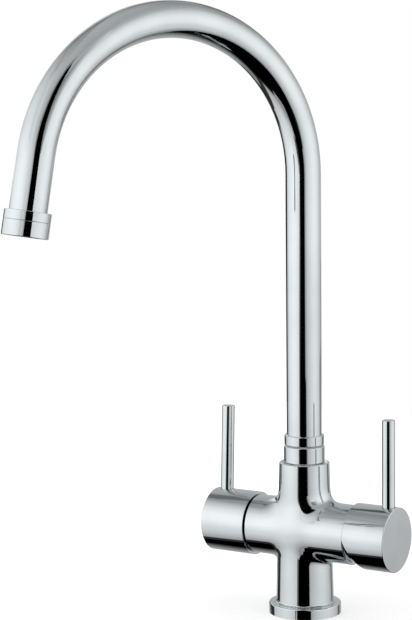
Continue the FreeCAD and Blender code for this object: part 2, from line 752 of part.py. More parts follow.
def make_spindle():
    disc_radius = d.disc_diameter / 2
    moving = piece("filter_moving_disc")
    disc_end = moving_disc_start + d.disc_thickness
    turned(moving, ring_outline(zero, disc_radius, moving_disc_start, disc_end))
    port = drill(moving, "port", d.disc_port, d.disc_thickness, x=d.disc_port_offset, z=moving_disc_start)
    repeat(moving, "ports", port, 2)
    slot(moving, "drive_slot", d.disc_slot, d.disc_diameter, d.disc_slot_depth, disc_end - d.disc_slot_depth)

    spindle = piece("filter_spindle")
    shaft = d.spindle_diameter / 2
    groove_half = d.spindle_seal_section / 2 + d.groove_side
    clip_low = spindle_clip_start - d.fit_clearance
    clip_high = spindle_clip_start + d.spindle_clip_thickness + d.fit_clearance
    seal_low = spindle_seal_station - groove_half
    seal_high = spindle_seal_station + groove_half
    turned(spindle, [(zero, plate_start), (disc_radius, plate_start), (disc_radius, plate_end),
                     (shaft, plate_end), (shaft, seal_low), (spindle_seal_floor, seal_low),
                     (spindle_seal_floor, seal_high), (shaft, seal_high), (shaft, clip_low),
                     (spindle_clip_floor, clip_low), (spindle_clip_floor, clip_high), (shaft, clip_high),
                     (shaft, spindle_end), (zero, spindle_end)])
    tang_width = d.disc_slot - d.running_clearance * 2
    tang_length = d.disc_diameter / 2
    tang_height = d.disc_slot_depth - d.running_clearance + d.disc_gap
    block(spindle, "Additive", "tang", tang_width, tang_length, tang_height,
          x=-tang_width / 2, y=-tang_length / 2, z=plate_start - tang_height)
    spline_length = spindle_end - spline_start
    groove = drill(spindle, "spline_groove", d.spline_groove, spline_length, x=shaft, z=spline_start)
    repeat(spindle, "spline", groove, spline_teeth)

    seal = o_ring("filter_spindle_o_ring", spindle_seal_radius, d.spindle_seal_section)
    pieces["filter_spindle_o_ring"] = seal

    clip = piece("filter_spindle_clip")
    clip_bore_radius = spindle_clip_floor + d.fit_clearance
    clip_end = spindle_clip_start + d.spindle_clip_thickness
    turned(clip, ring_outline(clip_bore_radius, d.spindle_clip_diameter / 2, spindle_clip_start, clip_end),
           angle=d.clip_angle)
    return [moving, spindle, clip]


def bore_for_lever(cap, station):
    seat_depth = cap_outside - d.lever_seat
    drill(cap, "lever_socket", d.lever_diameter + d.fit_clearance * 2, seat_depth + d.cap_wall,
          x=-d.lever_seat, z=station, pitch=-90)
    relief_start = cap_outside - d.lever_relief_depth
    drill(cap, "lever_relief", d.lever_diameter + d.lever_relief * 2, d.lever_relief_depth + d.cap_wall,
          x=-relief_start, z=station, pitch=-90)
    stub_room = d.lever_stub_length + d.clip_gap
    drill(cap, "lever_thread", d.lever_stub_diameter + d.fit_clearance * 2, stub_room,
          x=stub_room - d.lever_seat, z=station, pitch=-90)


def make_lever(side):
    lever = piece(f"{side}_lever")
    stub = d.lever_stub_diameter / 2
    pin = d.lever_diameter / 2
    stub_end = d.lever_seat - d.lever_stub_length
    turned(lever, [(zero, stub_end), (stub, stub_end), (stub, d.lever_seat), (pin, d.lever_seat),
                   (pin, d.lever_tip), (zero, d.lever_tip)])
    soften(lever, "tip_edge", d.lever_edge, rim(pin, d.lever_tip))
    return lever


def make_filter_side():
    still_pieces = make_cartridge()
    turning_pieces = make_spindle()

    adaptor = piece("filter_spline_adaptor")
    adaptor_radius = d.adaptor_diameter / 2
    turned(adaptor, ring_outline(spline_bore / 2, adaptor_radius - d.fit_clearance, spline_start, cap_floor))

    cap = piece("filter_handle_cap")
    turned(cap, [(cap_inside, cap_start), (cap_outside, cap_start), (cap_outside, cap_end), (zero, cap_end),
                 (zero, cap_floor), (adaptor_radius, cap_floor), (adaptor_radius, hub_start),
                 (hub_radius, hub_start), (hub_radius, cap_floor), (cap_inside, cap_floor)])
    soften(cap, "end_edge", d.cap_edge, rim(cap_outside, cap_end))
    bore_for_lever(cap, lever_station)
    grub_station = hub_start + d.hub_length / 2
    drill(cap, "grub_hole", d.grub_diameter + d.fit_clearance * 2, cap_outside, z=grub_station, pitch=90)

    grub = piece("filter_grub_screw")
    turned(grub, ring_outline(zero, d.grub_diameter / 2, adaptor_radius, hub_radius))

    # the handle and its spindle stand leaning back a little about the valve axis
    for item in still_pieces:
        place(item, z=d.axis_height, yaw=180, pitch=90)
    for item in turning_pieces + [cap, adaptor]:
        place(item, z=d.axis_height, yaw=-90, pitch=as_size(90) - d.lever_lean, roll=90)
    stations = {"filter_valve_o_ring": d.arm_reach - valve_seal_room / 2,
                "filter_spindle_o_ring": spindle_seal_station}
    for name, station in stations.items():
        place(pieces[name], x=-station, z=d.axis_height, yaw=180, pitch=90)
    place(grub, x=-grub_station, z=d.axis_height, roll=as_size(180) - d.lever_lean)
    place(make_lever("filter"), x=-lever_station, z=d.axis_height, roll=-d.lever_lean)


# Mixer cartridge: heights run along the valve axis, as on the other side

def mixer_ports(body, start, depth):
    # hot and cold come in above the axis, mixed water goes back below it
    drill(body, "hot_port", d.port_bore, depth, x=-d.port_rise, y=-d.port_offset, z=start)
    drill(body, "cold_port", d.port_bore, depth, x=-d.port_rise, y=d.port_offset, z=start)
    drill(body, "mixed_port", d.port_bore, depth, x=d.mixed_port_drop, z=start)


def make_mixer_cartridge():
    seated = mixer_chamber - d.fit_clearance
    seal = piece("mixer_seal")
    turned(seal, ring_outline(zero, seated, mixer_seat, mixer_fixed_start))
    mixer_ports(seal, mixer_seat, d.mixer_seal_thickness)

    still = piece("mixer_fixed_disc")
    turned(still, ring_outline(zero, seated, mixer_fixed_start, mixer_fixed_end))
    mixer_ports(still, mixer_fixed_start, d.mixer_disc_thickness)

    moving = piece("mixer_moving_disc")
    slider = d.mixer_disc_diameter / 2
    turned(moving, ring_outline(zero, slider, mixer_moving_start, mixer_moving_end))
    drill(moving, "mixing_pocket", d.pocket_diameter, d.pocket_depth, x=d.pocket_drop, z=mixer_moving_start)

    carrier = piece("mixer_disc_carrier")
    turned(carrier, ring_outline(zero, slider, carrier_start, carrier_end))
    drill(carrier, "foot_socket", d.stem_foot + d.running_clearance * 2, d.carrier_socket,
          z=carrier_end - d.carrier_socket)

    shell = piece("mixer_shell")
    shell_start = mixer_seat + d.fit_clearance
    barrel = d.mixer_bore / 2 - d.fit_clearance
    mouth = d.guide_neck / 2 + d.running_clearance
    turned(shell, [(mixer_chamber, shell_start), (barrel, shell_start), (barrel, shell_end),
                   (mouth, shell_end), (mouth, shell_front_start), (mixer_chamber, shell_front_start)])

    nut = piece("mixer_nut")
    thread = d.mixer_thread / 2 - d.fit_clearance
    crown = d.nut_crown / 2
    nut_end = d.mixer_arm_reach + d.nut_crown_height
    turned(nut, [(d.nut_bore / 2, shell_end), (thread, shell_end), (thread, d.mixer_arm_reach),
                 (crown, d.mixer_arm_reach), (crown, nut_end), (d.nut_bore / 2, nut_end)])
    slot(nut, "upright_notches", d.nut_crown, d.nut_notch, d.nut_crown_height, d.mixer_arm_reach)
    slot(nut, "level_notches", d.nut_notch, d.nut_crown, d.nut_crown_height, d.mixer_arm_reach)

    # a dome about the tilting axis closes the arm, so that the cap can swing over it
    cover = piece("mixer_cover")
    ball(cover, "Additive", "dome", cover_radius, pivot)
    back_depth = d.mixer_arm_reach - pivot + cover_radius
    drill(cover, "back_cut", cover_radius * 3, back_depth, z=pivot - cover_radius)
    ball(cover, "Subtractive", "dome_inside", cover_radius - d.cover_wall, pivot)
    drill(cover, "stem_opening", d.cover_opening, cover_radius, z=pivot)
    return [seal, still, moving, carrier, shell, nut, cover]


def make_mixer_guide():
    guide = piece("mixer_guide")
    barrel = mixer_chamber - d.running_clearance
    neck = d.guide_neck / 2
    guide_end = shell_end + d.guide_lip
    turned(guide, [(zero, guide_start), (barrel, guide_start), (barrel, guide_shoulder),
                   (neck, guide_shoulder), (neck, guide_end), (zero, guide_end)])
    slot(guide, "stem_way", d.stem_swing_room, d.stem_side + d.running_clearance * 2,
         guide_end - guide_start, guide_start)
    drill(guide, "pin_hole", d.pin_diameter + d.fit_clearance * 2, d.pin_length,
          y=-d.pin_length / 2, z=pivot, roll=-90)

    pin = piece("mixer_pin")
    turned(pin, ring_outline(zero, d.pin_diameter / 2, zero, d.pin_length))
    place(pin, x=pivot, y=-d.pin_length / 2, z=d.axis_height, roll=-90)
    return guide


# Everything that tilts with the mixer lever

def make_mixer_handle():
    stem = piece("mixer_stem")
    bar_start = foot_station + d.stem_neck_rise
    bar_end = mixer_cap_floor - d.clip_gap
    ball(stem, "Additive", "foot", d.stem_foot / 2, foot_station)
    cylinder(stem, "Additive", "foot_neck", d.stem_neck, d.stem_neck_rise, z=foot_station)
    block(stem, "Additive", "bar", d.stem_side, d.stem_side, bar_end - bar_start,
          x=-d.stem_side / 2, y=-d.stem_side / 2, z=bar_start)
    drill(stem, "pin_hole", d.pin_diameter + d.running_clearance * 2, d.pin_length,
          y=-d.pin_length / 2, z=pivot, roll=-90)

    cap = piece("mixer_handle_cap")
    turned(cap, [(cap_inside, mixer_cap_start), (cap_outside, mixer_cap_start), (cap_outside, mixer_cap_end),
                 (zero, mixer_cap_end), (zero, mixer_hub_start), (hub_radius, mixer_hub_start),
                 (hub_radius, mixer_cap_floor), (cap_inside, mixer_cap_floor)])
    soften(cap, "end_edge", d.cap_edge, rim(cap_outside, mixer_cap_end))
    # the lower half of the rim is cut away on a slant, which gives the cap room to tilt
    cut_height = cap_outside
    block(cap, "Subtractive", "tilt_relief", d.cap_diameter, d.cap_diameter * 2, cut_height,
          x=cut_height * sine(d.tilt_relief), y=-d.cap_diameter,
          z=mixer_cap_start - cut_height * cosine(d.tilt_relief), pitch=-d.tilt_relief)
    bore_for_lever(cap, mixer_lever_station)
    socket_side = d.stem_side + d.fit_clearance * 2
    slot(cap, "stem_socket", socket_side, socket_side, d.hub_length, mixer_hub_start)
    grub_hole = d.grub_diameter + d.fit_clearance * 2
    drill(cap, "grub_hole", grub_hole, cap_outside, z=mixer_grub_station, pitch=90)

    grub = piece("mixer_grub_screw")
    turned(grub, ring_outline(zero, d.grub_diameter / 2, d.stem_side / 2 + d.fit_clearance, hub_radius))
    place(grub, x=mixer_grub_station, z=d.axis_height, pitch=180)
    place(make_lever("mixer"), x=mixer_lever_station, z=d.axis_height)
    return [stem, cap]


def make_mixer_side():
    for item in make_mixer_cartridge() + [make_mixer_guide()] + make_mixer_handle():
        place(item, z=d.axis_height, pitch=90)


make_base()
make_body()
make_swivel()
make_spout()
make_outlet()
make_filter_side()
make_mixer_side()
doc.recompute()

for item in doc.Objects:
    if "Invalid" in item.State or "Error" in item.State:
        raise RuntimeError(f"{item.Label} failed: {item.State}")
for name, item in pieces.items():
    if item.Shape.isNull() or not item.Shape.isValid():
        raise RuntimeError(f"{name} has no valid shape")

os.makedirs("parts", exist_ok=True)
for name, item in pieces.items():
    item.Shape.exportStep(f"parts/{name}.step")
    print(name, len(item.Shape.Solids), round(item.Shape.Volume, 1))
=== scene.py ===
import json
import math

import bmesh
import bpy
import numpy as np
from mathutils import Matrix, Vector

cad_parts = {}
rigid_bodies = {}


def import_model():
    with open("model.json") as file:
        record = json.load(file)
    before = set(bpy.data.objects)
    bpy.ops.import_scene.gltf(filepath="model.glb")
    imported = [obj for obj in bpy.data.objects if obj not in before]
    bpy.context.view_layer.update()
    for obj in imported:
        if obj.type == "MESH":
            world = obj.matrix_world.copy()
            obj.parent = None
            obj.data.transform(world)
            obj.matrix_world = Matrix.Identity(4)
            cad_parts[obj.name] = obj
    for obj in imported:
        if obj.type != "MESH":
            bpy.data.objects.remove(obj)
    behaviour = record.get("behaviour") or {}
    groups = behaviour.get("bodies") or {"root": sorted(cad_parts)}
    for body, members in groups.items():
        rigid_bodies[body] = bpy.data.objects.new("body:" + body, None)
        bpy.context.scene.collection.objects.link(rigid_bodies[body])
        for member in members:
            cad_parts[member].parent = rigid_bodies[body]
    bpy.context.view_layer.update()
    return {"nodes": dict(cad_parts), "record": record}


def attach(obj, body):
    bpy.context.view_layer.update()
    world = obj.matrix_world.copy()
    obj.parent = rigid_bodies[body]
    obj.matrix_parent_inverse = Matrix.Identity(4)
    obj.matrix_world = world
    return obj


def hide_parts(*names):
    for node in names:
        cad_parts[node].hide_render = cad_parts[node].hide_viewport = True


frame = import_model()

print("frame loaded:", len(frame["nodes"]), "nodes")


# a hex colour in linear light, by the sRGB formula
def linearColour(hexText):
    channels = [int(hexText[i:i + 2], 16) / 255 for i in (1, 3, 5)]
    return [c / 12.92 if c <= 0.04045 else ((c + 0.055) / 1.055) ** 2.4 for c in channels] + [1.0]


# a shader node, with each of its sockets linked or given a value
def addNode(tree, kind, settings=None, sockets=None):
    node = tree.nodes.new(kind)
    for name, value in (settings or {}).items():
        setattr(node, name, value)
    for name, value in (sockets or {}).items():
        if isinstance(value, bpy.types.NodeSocket):
            tree.links.new(value, node.inputs[name])
        else:
            node.inputs[name].default_value = value
    return node


def newMaterial(name):
    material = bpy.data.materials.new(name)
    material.use_nodes = True
    material.node_tree.nodes.clear()
    return material, material.node_tree


def addObject(name, data):
    thing = bpy.data.objects.new(name, data)
    bpy.context.scene.collection.objects.link(thing)
    return thing


# the mesh of a finished shape, which is used up
def meshFrom(name, shape):
    mesh = bpy.data.meshes.new(name)
    shape.to_mesh(mesh)
    shape.free()
    return mesh


# how many pattern repeats fit in one metre of Object coordinates
def perMetre(millimetres):
    return 1000 / millimetres


# noise that runs between two colours
def mottled(tree, noise, dark, light, steps):
    colour = addNode(tree, "ShaderNodeValToRGB", None, {"Fac": noise})
    for element, hexText, step in zip(colour.color_ramp.elements, (dark, light), steps):
        element.color = linearColour(hexText)
        element.position = step
    return colour.outputs["Color"]


chromePlate = {
    "bright": "#D3D8DA",
    "hazed": "#CBD0D2",      # where the plate is a little thinner
    "hazeSize": 28,          # mm across one soft patch
    "hazeDetail": 3.0,
    "hazeSteps": (0.3, 0.6),         # the noise's levels where the plate is hazed and bright
    "roughSteps": (0.3, 0.7),
    "rough": (0.06, 0.025),
    "waveDetail": 1.0,
    "castWave": 11,          # mm between the soft waves that polishing leaves in a casting
    "castDepth": 0.010,      # mm
    "tubeWave": 16,
    "tubeDepth": 0.006,
    "turnedPitch": 0.8,      # mm between turning marks, drawn coarser than real so that they show
    "turnedDepth": 0.0004,
}


# chrome on polished brass: a hard cool mirror, a touch of soft waviness under the plate
def chromeMaterial(name, waveSize, waveDepth):
    material, tree = newMaterial(name)
    place = addNode(tree, "ShaderNodeTexCoord").outputs["Object"]
    haze = addNode(tree, "ShaderNodeTexNoise", None,
                   {"Vector": place, "Scale": perMetre(chromePlate["hazeSize"]),
                    "Detail": chromePlate["hazeDetail"]}).outputs["Fac"]
    colour = mottled(tree, haze, chromePlate["hazed"], chromePlate["bright"], chromePlate["hazeSteps"])
    (low, high), (dull, sharp) = chromePlate["roughSteps"], chromePlate["rough"]
    rough = addNode(tree, "ShaderNodeMapRange", None,
                    {"Value": haze, "From Min": low, "From Max": high, "To Min": dull, "To Max": sharp})
    waves = addNode(tree, "ShaderNodeTexNoise", None,
                    {"Vector": place, "Scale": perMetre(waveSize), "Detail": chromePlate["waveDetail"]})
    bump = addNode(tree, "ShaderNodeBump", None,
                   {"Height": waves.outputs["Fac"], "Strength": 1.0, "Distance": waveDepth / 1000})
    shader = addNode(tree, "ShaderNodeBsdfPrincipled", None,
                     {"Base Color": colour, "Metallic": 1.0,
                      "Roughness": rough.outputs["Result"], "Normal": bump.outputs["Normal"]})
    addNode(tree, "ShaderNodeOutputMaterial", None, {"Surface": shader.outputs["BSDF"]})
    return material


castChrome = chromeMaterial("chromePlatedCastBrass", chromePlate["castWave"], chromePlate["castDepth"])
tubeChrome = chromeMaterial("chromePlatedDrawnTube", chromePlate["tubeWave"], chromePlate["tubeDepth"])
turnedChrome = chromeMaterial("chromePlatedTurnedBrass",
                              chromePlate["turnedPitch"], chromePlate["turnedDepth"])

innerFinish = {
    "machinedBrass": {
        "dark": "#8E6F35", "light": "#B8964F", "metallic": 1.0, "rough": (0.22, 0.38), "grain": 1.2},
    "mouldedRubber": {
        "dark": "#0E0E0F", "light": "#1B1B1C", "metallic": 0.0, "rough": (0.55, 0.75), "grain": 0.6},
    "lappedCeramic": {
        "dark": "#D9D5CB", "light": "#E9E6DF", "metallic": 0.0, "rough": (0.16, 0.28), "grain": 1.5},
    "mouldedAcetal": {
        "dark": "#B9BCBE", "light": "#CDD0D2", "metallic": 0.0, "rough": (0.38, 0.52), "grain": 0.8},
    "brightSteel": {
        "dark": "#85878A", "light": "#A8AAAD", "metallic": 1.0, "rough": (0.2, 0.34), "grain": 0.7},
}
innerGrain = {
    "detail": 4.0,
    "strength": 0.3,
    "depth": 0.02,           # mm
}


# pieces inside the tap: machined, moulded or lapped, with a fine grain in colour and gloss
def innerMaterial(name):
    finish = innerFinish[name]
    material, tree = newMaterial(name)
    place = addNode(tree, "ShaderNodeTexCoord").outputs["Object"]
    grain = addNode(tree, "ShaderNodeTexNoise", None,
                    {"Vector": place, "Scale": perMetre(finish["grain"]),
                     "Detail": innerGrain["detail"]}).outputs["Fac"]
    colour = mottled(tree, grain, finish["dark"], finish["light"], (0.0, 1.0))
    sharp, dull = finish["rough"]
    rough = addNode(tree, "ShaderNodeMapRange", None, {"Value": grain, "To Min": sharp, "To Max": dull})
    bump = addNode(tree, "ShaderNodeBump", None,
                   {"Height": grain, "Strength": innerGrain["strength"],
                    "Distance": innerGrain["depth"] / 1000})
    shader = addNode(tree, "ShaderNodeBsdfPrincipled", None,
                     {"Base Color": colour, "Metallic": finish["metallic"],
                      "Roughness": rough.outputs["Result"], "Normal": bump.outputs["Normal"]})
    addNode(tree, "ShaderNodeOutputMaterial", None, {"Surface": shader.outputs["BSDF"]})
    return material


slotMaterial = {
    "chrome": turnedChrome,
    "brass": innerMaterial("machinedBrass"),
    "rubber": innerMaterial("mouldedRubber"),
    "ceramic": innerMaterial("lappedCeramic"),
    "plastic": innerMaterial("mouldedAcetal"),
    "steel": innerMaterial("brightSteel"),
}
nodeMaterial = {"body_casting": castChrome, "spout_tube": tubeChrome}
for part in frame["record"]["subparts"]:
    piece = frame["nodes"][part["node"]]
    finish = nodeMaterial.get(part["node"], slotMaterial[part["material_slot"]])
    for slot in piece.material_slots:
        slot.material = finish


# sizes of the casting in metres, as its CAD solid has them, and how its skin is blended
castBody = {
    "armRadius": 0.0185, "armHeight": 0.053,
    "columnFoot": (0.0181, 0.0071), "columnTop": (0.01575, 0.096),   # radius, height
    "flareTop": 0.00775,     # the column's flared foot ends here
    # reach of the blend where column and arms meet flat, and where they meet square
    "upperBlend": (0.0105, 0.012),
    "lowerBlend": (0.007, 0.006),
    "weld": 1e-6,            # corners this near are one
    "skinDepth": 1e-4,       # the outer skin lies no deeper than this
    "facing": 0.9,           # and faces outwards at least this much
    "longest": 0.0011,       # edges in the blend are cut down to this
    "coarse": 0.006,         # and all others to this
    "cuts": 10,              # rounds of cutting, at most
    "moves": 6,              # moves onto the blended skin, each nearer
    "axisRoom": 1e-6,        # points on an axis count as this far from it, so that they have a way out
    "sharpAngle": 30,        # degrees between faces at an edge that stays sharp
}


# the casting's skin at some points: how far they lie outside arms and column (plain), and outside the two run
# into each other (outside), which way is out, and their share of the blend
def bodySkin(points):
    x, y, z = np.array(points).T
    rise = z - castBody["armHeight"]
    armReach = np.maximum(np.hypot(y, rise), castBody["axisRoom"])
    arm = armReach - castBody["armRadius"]
    armWay = np.stack((0 * x, y / armReach, rise / armReach), 1)
    (footRadius, footHeight), (topRadius, topHeight) = castBody["columnFoot"], castBody["columnTop"]
    taper = (topRadius - footRadius) / (topHeight - footHeight)
    slant = math.hypot(1, taper)
    columnReach = np.maximum(np.hypot(x, y), castBody["axisRoom"])
    column = (columnReach - footRadius - taper * (z - footHeight)) / slant
    columnWay = np.stack((x / columnReach, y / columnReach, 0 * x - taper), 1) / slant
    square = np.clip(1 - (armWay * columnWay).sum(1), 0, 1)
    # the lower blend runs into the upper one within half a radius of the arms' axis
    upper = np.clip(0.5 + rise / castBody["armRadius"], 0, 1)
    flat, corner = (np.interp(upper, (0, 1), ends)
                    for ends in zip(castBody["lowerBlend"], castBody["upperBlend"]))
    reach = flat + (corner - flat) * square
    # a cubic smooth minimum of the two
    share = np.clip(1 - abs(arm - column) / reach, 0, 1)
    plain = np.minimum(arm, column)
    mix = np.where(arm < column, 1 - share ** 2 / 2, share ** 2 / 2)[:, None]
    way = armWay * mix + columnWay * (1 - mix)
    return {"plain": plain, "outside": plain - share ** 3 * reach / 6,
            "way": way / np.linalg.norm(way, axis=1)[:, None], "share": share}


# marks the faces of the casting's outer skin, above its foot
def markSkin(shape):
    shape.verts.index_update()
    places = [corner.co for corner in shape.verts]
    outer = bodySkin(places)["plain"] > -castBody["skinDepth"]
    outer &= np.array([place.z for place in places]) > castBody["flareTop"]
    ways = bodySkin([face.calc_center_median() for face in shape.faces])["way"]
    skin = shape.faces.layers.int.new("skin")
    for face, way in zip(shape.faces, ways):
        outwards = face.normal.dot(Vector(way)) > castBody["facing"]
        face[skin] = outwards and all(outer[corner.index] for corner in face.verts)
    return skin


# cuts the skin's edges finer, round by round, most of all in the blend
def cutFiner(shape, skin):
    for again in range(castBody["cuts"]):
        shape.verts.index_update()
        share = bodySkin([corner.co for corner in shape.verts])["share"]
        tooLong = []
        for edge in shape.edges:
            blended = max(share[corner.index] for corner in edge.verts) > 0
            limit = castBody["longest"] if blended else castBody["coarse"]
            if edge.calc_length() > limit and any(face[skin] for face in edge.link_faces):
                tooLong.append(edge)
        if not tooLong:
            break
        bmesh.ops.subdivide_edges(shape, edges=tooLong, cuts=1, use_single_edge=True)
        bmesh.ops.triangulate(shape, faces=[face for face in shape.faces if len(face.verts) > 3])


# moves the skin's corners onto the blended form
def moveToBlend(shape, skin):
    corners = [corner for corner in shape.verts if any(face[skin] for face in corner.link_faces)]
    for again in range(castBody["moves"]):
        form = bodySkin([corner.co for corner in corners])
        for corner, step in zip(corners, form["way"] * form["outside"][:, None]):
            corner.co -= Vector(step)


# the casting after hand polishing, which runs column and arms into each other with no crease
def polishedBody():
    shape = bmesh.new()
    shape.from_mesh(frame["nodes"]["body_casting"].data)
    bmesh.ops.remove_doubles(shape, verts=shape.verts, dist=castBody["weld"])
    skin = markSkin(shape)
    cutFiner(shape, skin)
    moveToBlend(shape, skin)
    mesh = meshFrom("polishedBody", shape)
    mesh.shade_smooth()
    mesh.set_sharp_from_angle(angle=math.radians(castBody["sharpAngle"]))
    way = bodySkin([corner.co for corner in mesh.vertices])["way"]
    onSkin = [flag.value for flag in mesh.attributes["skin"].data]
    mesh.normals_split_custom_set([way[mesh.loops[loop].vertex_index] if onSkin[face.index] else (0, 0, 0)
                                   for face in mesh.polygons for loop in face.loop_indices])
    mesh.attributes.remove(mesh.attributes["skin"])
    mesh.materials.append(castChrome)
    body = addObject("polishedBody", mesh)
    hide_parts("body_casting")
    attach(body, "tap_body")
    print("polished body:", len(mesh.polygons), "faces")


polishedBody()


# studio ways: near is level from the tap towards the camera, right is square to it
viewTurn = math.radians(29.427)
cardWays = {
    "right": Vector((math.cos(viewTurn), math.sin(viewTurn), 0)),
    "near": Vector((math.sin(viewTurn), -math.cos(viewTurn), 0)),
    "up": Vector((0, 0, 1)),
}

# each card stands flat at one place along one of those ways, with its outline in the other two, in metres,
# and has a light level; a soft box is brightest in its middle, so a card may fade along any way, by stops of
# (place, share of its light)
studioCards = {
    "leftPanel": {
        "at": ("right", -0.8), "level": 1.33,
        "outline": ((-0.9, -1.0), (2.4, -1.0), (2.4, 1.4), (-0.9, 1.4)),
        "near": ((-0.9, 0.55), (-0.5, 0.7), (-0.2, 0.85), (0.1, 0.96), (0.4, 1.0), (0.8, 0.93),
                 (1.2, 0.85), (1.6, 0.74), (2.4, 0.55)),
        "up": ((-1.0, 0.24), (-0.8, 0.39), (-0.6, 0.53), (-0.4, 0.67), (-0.15, 0.8), (0.1, 0.97),
               (0.3, 1.0), (0.5, 0.94), (0.8, 0.74), (1.1, 0.53), (1.4, 0.34))},
    "leftPanelEnd": {
        "at": ("right", -0.79), "level": 1.08,
        "outline": ((0.6, 0.6), (2.4, 0.6), (2.4, 1.4), (0.38, 1.4), (0.38, 1.12)),
        "near": ((0.6, 0.85), (0.85, 0.95), (1.05, 0.98), (1.35, 0.94), (1.65, 0.88), (2.4, 0.8)),
        "up": ((0.6, 1.0), (0.75, 0.97), (0.9, 0.93), (1.1, 0.86), (1.4, 0.8))},
    "rightPanel": {
        "at": ("right", 0.8), "level": 1.23,
        "outline": ((-0.9, -1.0), (2.4, -1.0), (2.4, 1.4), (-0.9, 1.4)),
        "near": ((-0.9, 0.52), (-0.6, 0.61), (-0.3, 0.78), (0.0, 0.95), (0.25, 1.0), (0.5, 0.96),
                 (0.8, 0.88), (1.2, 0.8), (1.7, 0.74), (2.4, 0.66)),
        "up": ((-1.0, 0.3), (-0.8, 0.42), (-0.6, 0.56), (-0.4, 0.7), (-0.15, 0.77), (0.1, 0.94),
               (0.3, 1.0), (0.5, 1.0), (0.8, 0.88), (1.1, 0.72), (1.4, 0.56))},
    "rightPanelEnd": {
        "at": ("right", 0.79), "level": 1.0,
        "outline": ((0.9, 0.4), (2.4, 0.4), (2.4, 1.4), (0.9, 1.4)),
        "near": ((0.9, 0.86), (1.05, 0.7), (1.2, 0.56), (1.35, 0.44), (1.65, 0.31), (2.4, 0.3))},
    "backLeftPanel": {
        "at": ("near", -0.88), "level": 1.1,
        "outline": ((-0.8, 0.27), (-0.33, 0.27), (-0.33, 1.3), (-0.8, 1.3)),
        "up": ((0.27, 1.0), (0.6, 0.95), (0.8, 0.75), (1.0, 0.52), (1.3, 0.42))},
    "backCard": {
        "at": ("near", -0.9), "level": 0.56,
        "outline": ((-0.8, -1.0), (0.8, -1.0), (0.8, 1.4), (-0.8, 1.4)),
        "up": ((-1.0, 0.52), (-0.7, 0.68), (-0.5, 0.8), (-0.3, 0.9), (0.0, 1.0), (0.6, 1.0), (1.0, 0.86),
               (1.4, 0.78))},
    "frontCard": {
        "at": ("near", 2.4), "level": 0.9,
        "outline": ((-0.8, -1.0), (0.8, -1.0), (0.8, 1.4), (-0.8, 1.4)),
        "right": ((-0.8, 1.0), (-0.5, 0.83), (-0.2, 0.52), (0.05, 0.1), (0.33, 0.06), (0.45, 0.55),
                  (0.6, 0.68), (0.8, 0.78)),
        "up": ((-1.0, 0.0), (-0.6, 0.08), (-0.4, 0.45), (-0.2, 0.85), (0.2, 0.9), (0.6, 1.0),
               (1.4, 0.85))},
    "ceilingCard": {
        "at": ("up", 1.4), "level": 0.72,
        "outline": ((-0.8, -0.9), (0.8, -0.9), (0.8, 2.4), (-0.8, 2.4)),
        "right": ((-0.8, 1.0), (-0.45, 0.84), (0.0, 0.75), (0.4, 0.7), (0.8, 0.88)),
        "near": ((-0.9, 0.72), (-0.5, 0.84), (-0.2, 0.95), (0.3, 1.0), (2.4, 1.0))},
    "ceilingLeft": {
        "at": ("up", 1.39), "level": 0.75,
        "outline": ((-0.8, -0.9), (-0.4, -0.9), (-0.4, 2.4), (-0.8, 2.4)),
        "right": ((-0.8, 1.0), (-0.6, 0.93), (-0.4, 0.83)),
        "near": ((-0.9, 0.55), (-0.6, 0.48), (-0.45, 0.5), (-0.15, 0.62), (0.15, 0.7), (0.45, 0.82),
                 (0.75, 0.96), (1.05, 1.0), (2.4, 0.98))},
    "lowGround": {
        "at": ("up", -1.0), "level": 0.0,
        "outline": ((-0.8, -0.42), (0.8, -0.42), (0.8, 2.4), (-0.8, 2.4))},
    "lowLeft": {
        "at": ("up", -0.99), "level": 0.4,
        "outline": ((-0.8, 0.6), (-0.64, 0.6), (-0.58, 1.7), (-0.8, 1.7))},
    "lowBack": {
        "at": ("up", -1.0), "level": 0.3,
        "outline": ((-0.8, -0.9), (0.8, -0.9), (0.8, -0.42), (-0.8, -0.42)),
        "near": ((-0.9, 0.9), (-0.7, 0.62), (-0.55, 0.28), (-0.42, 0.02))},
}
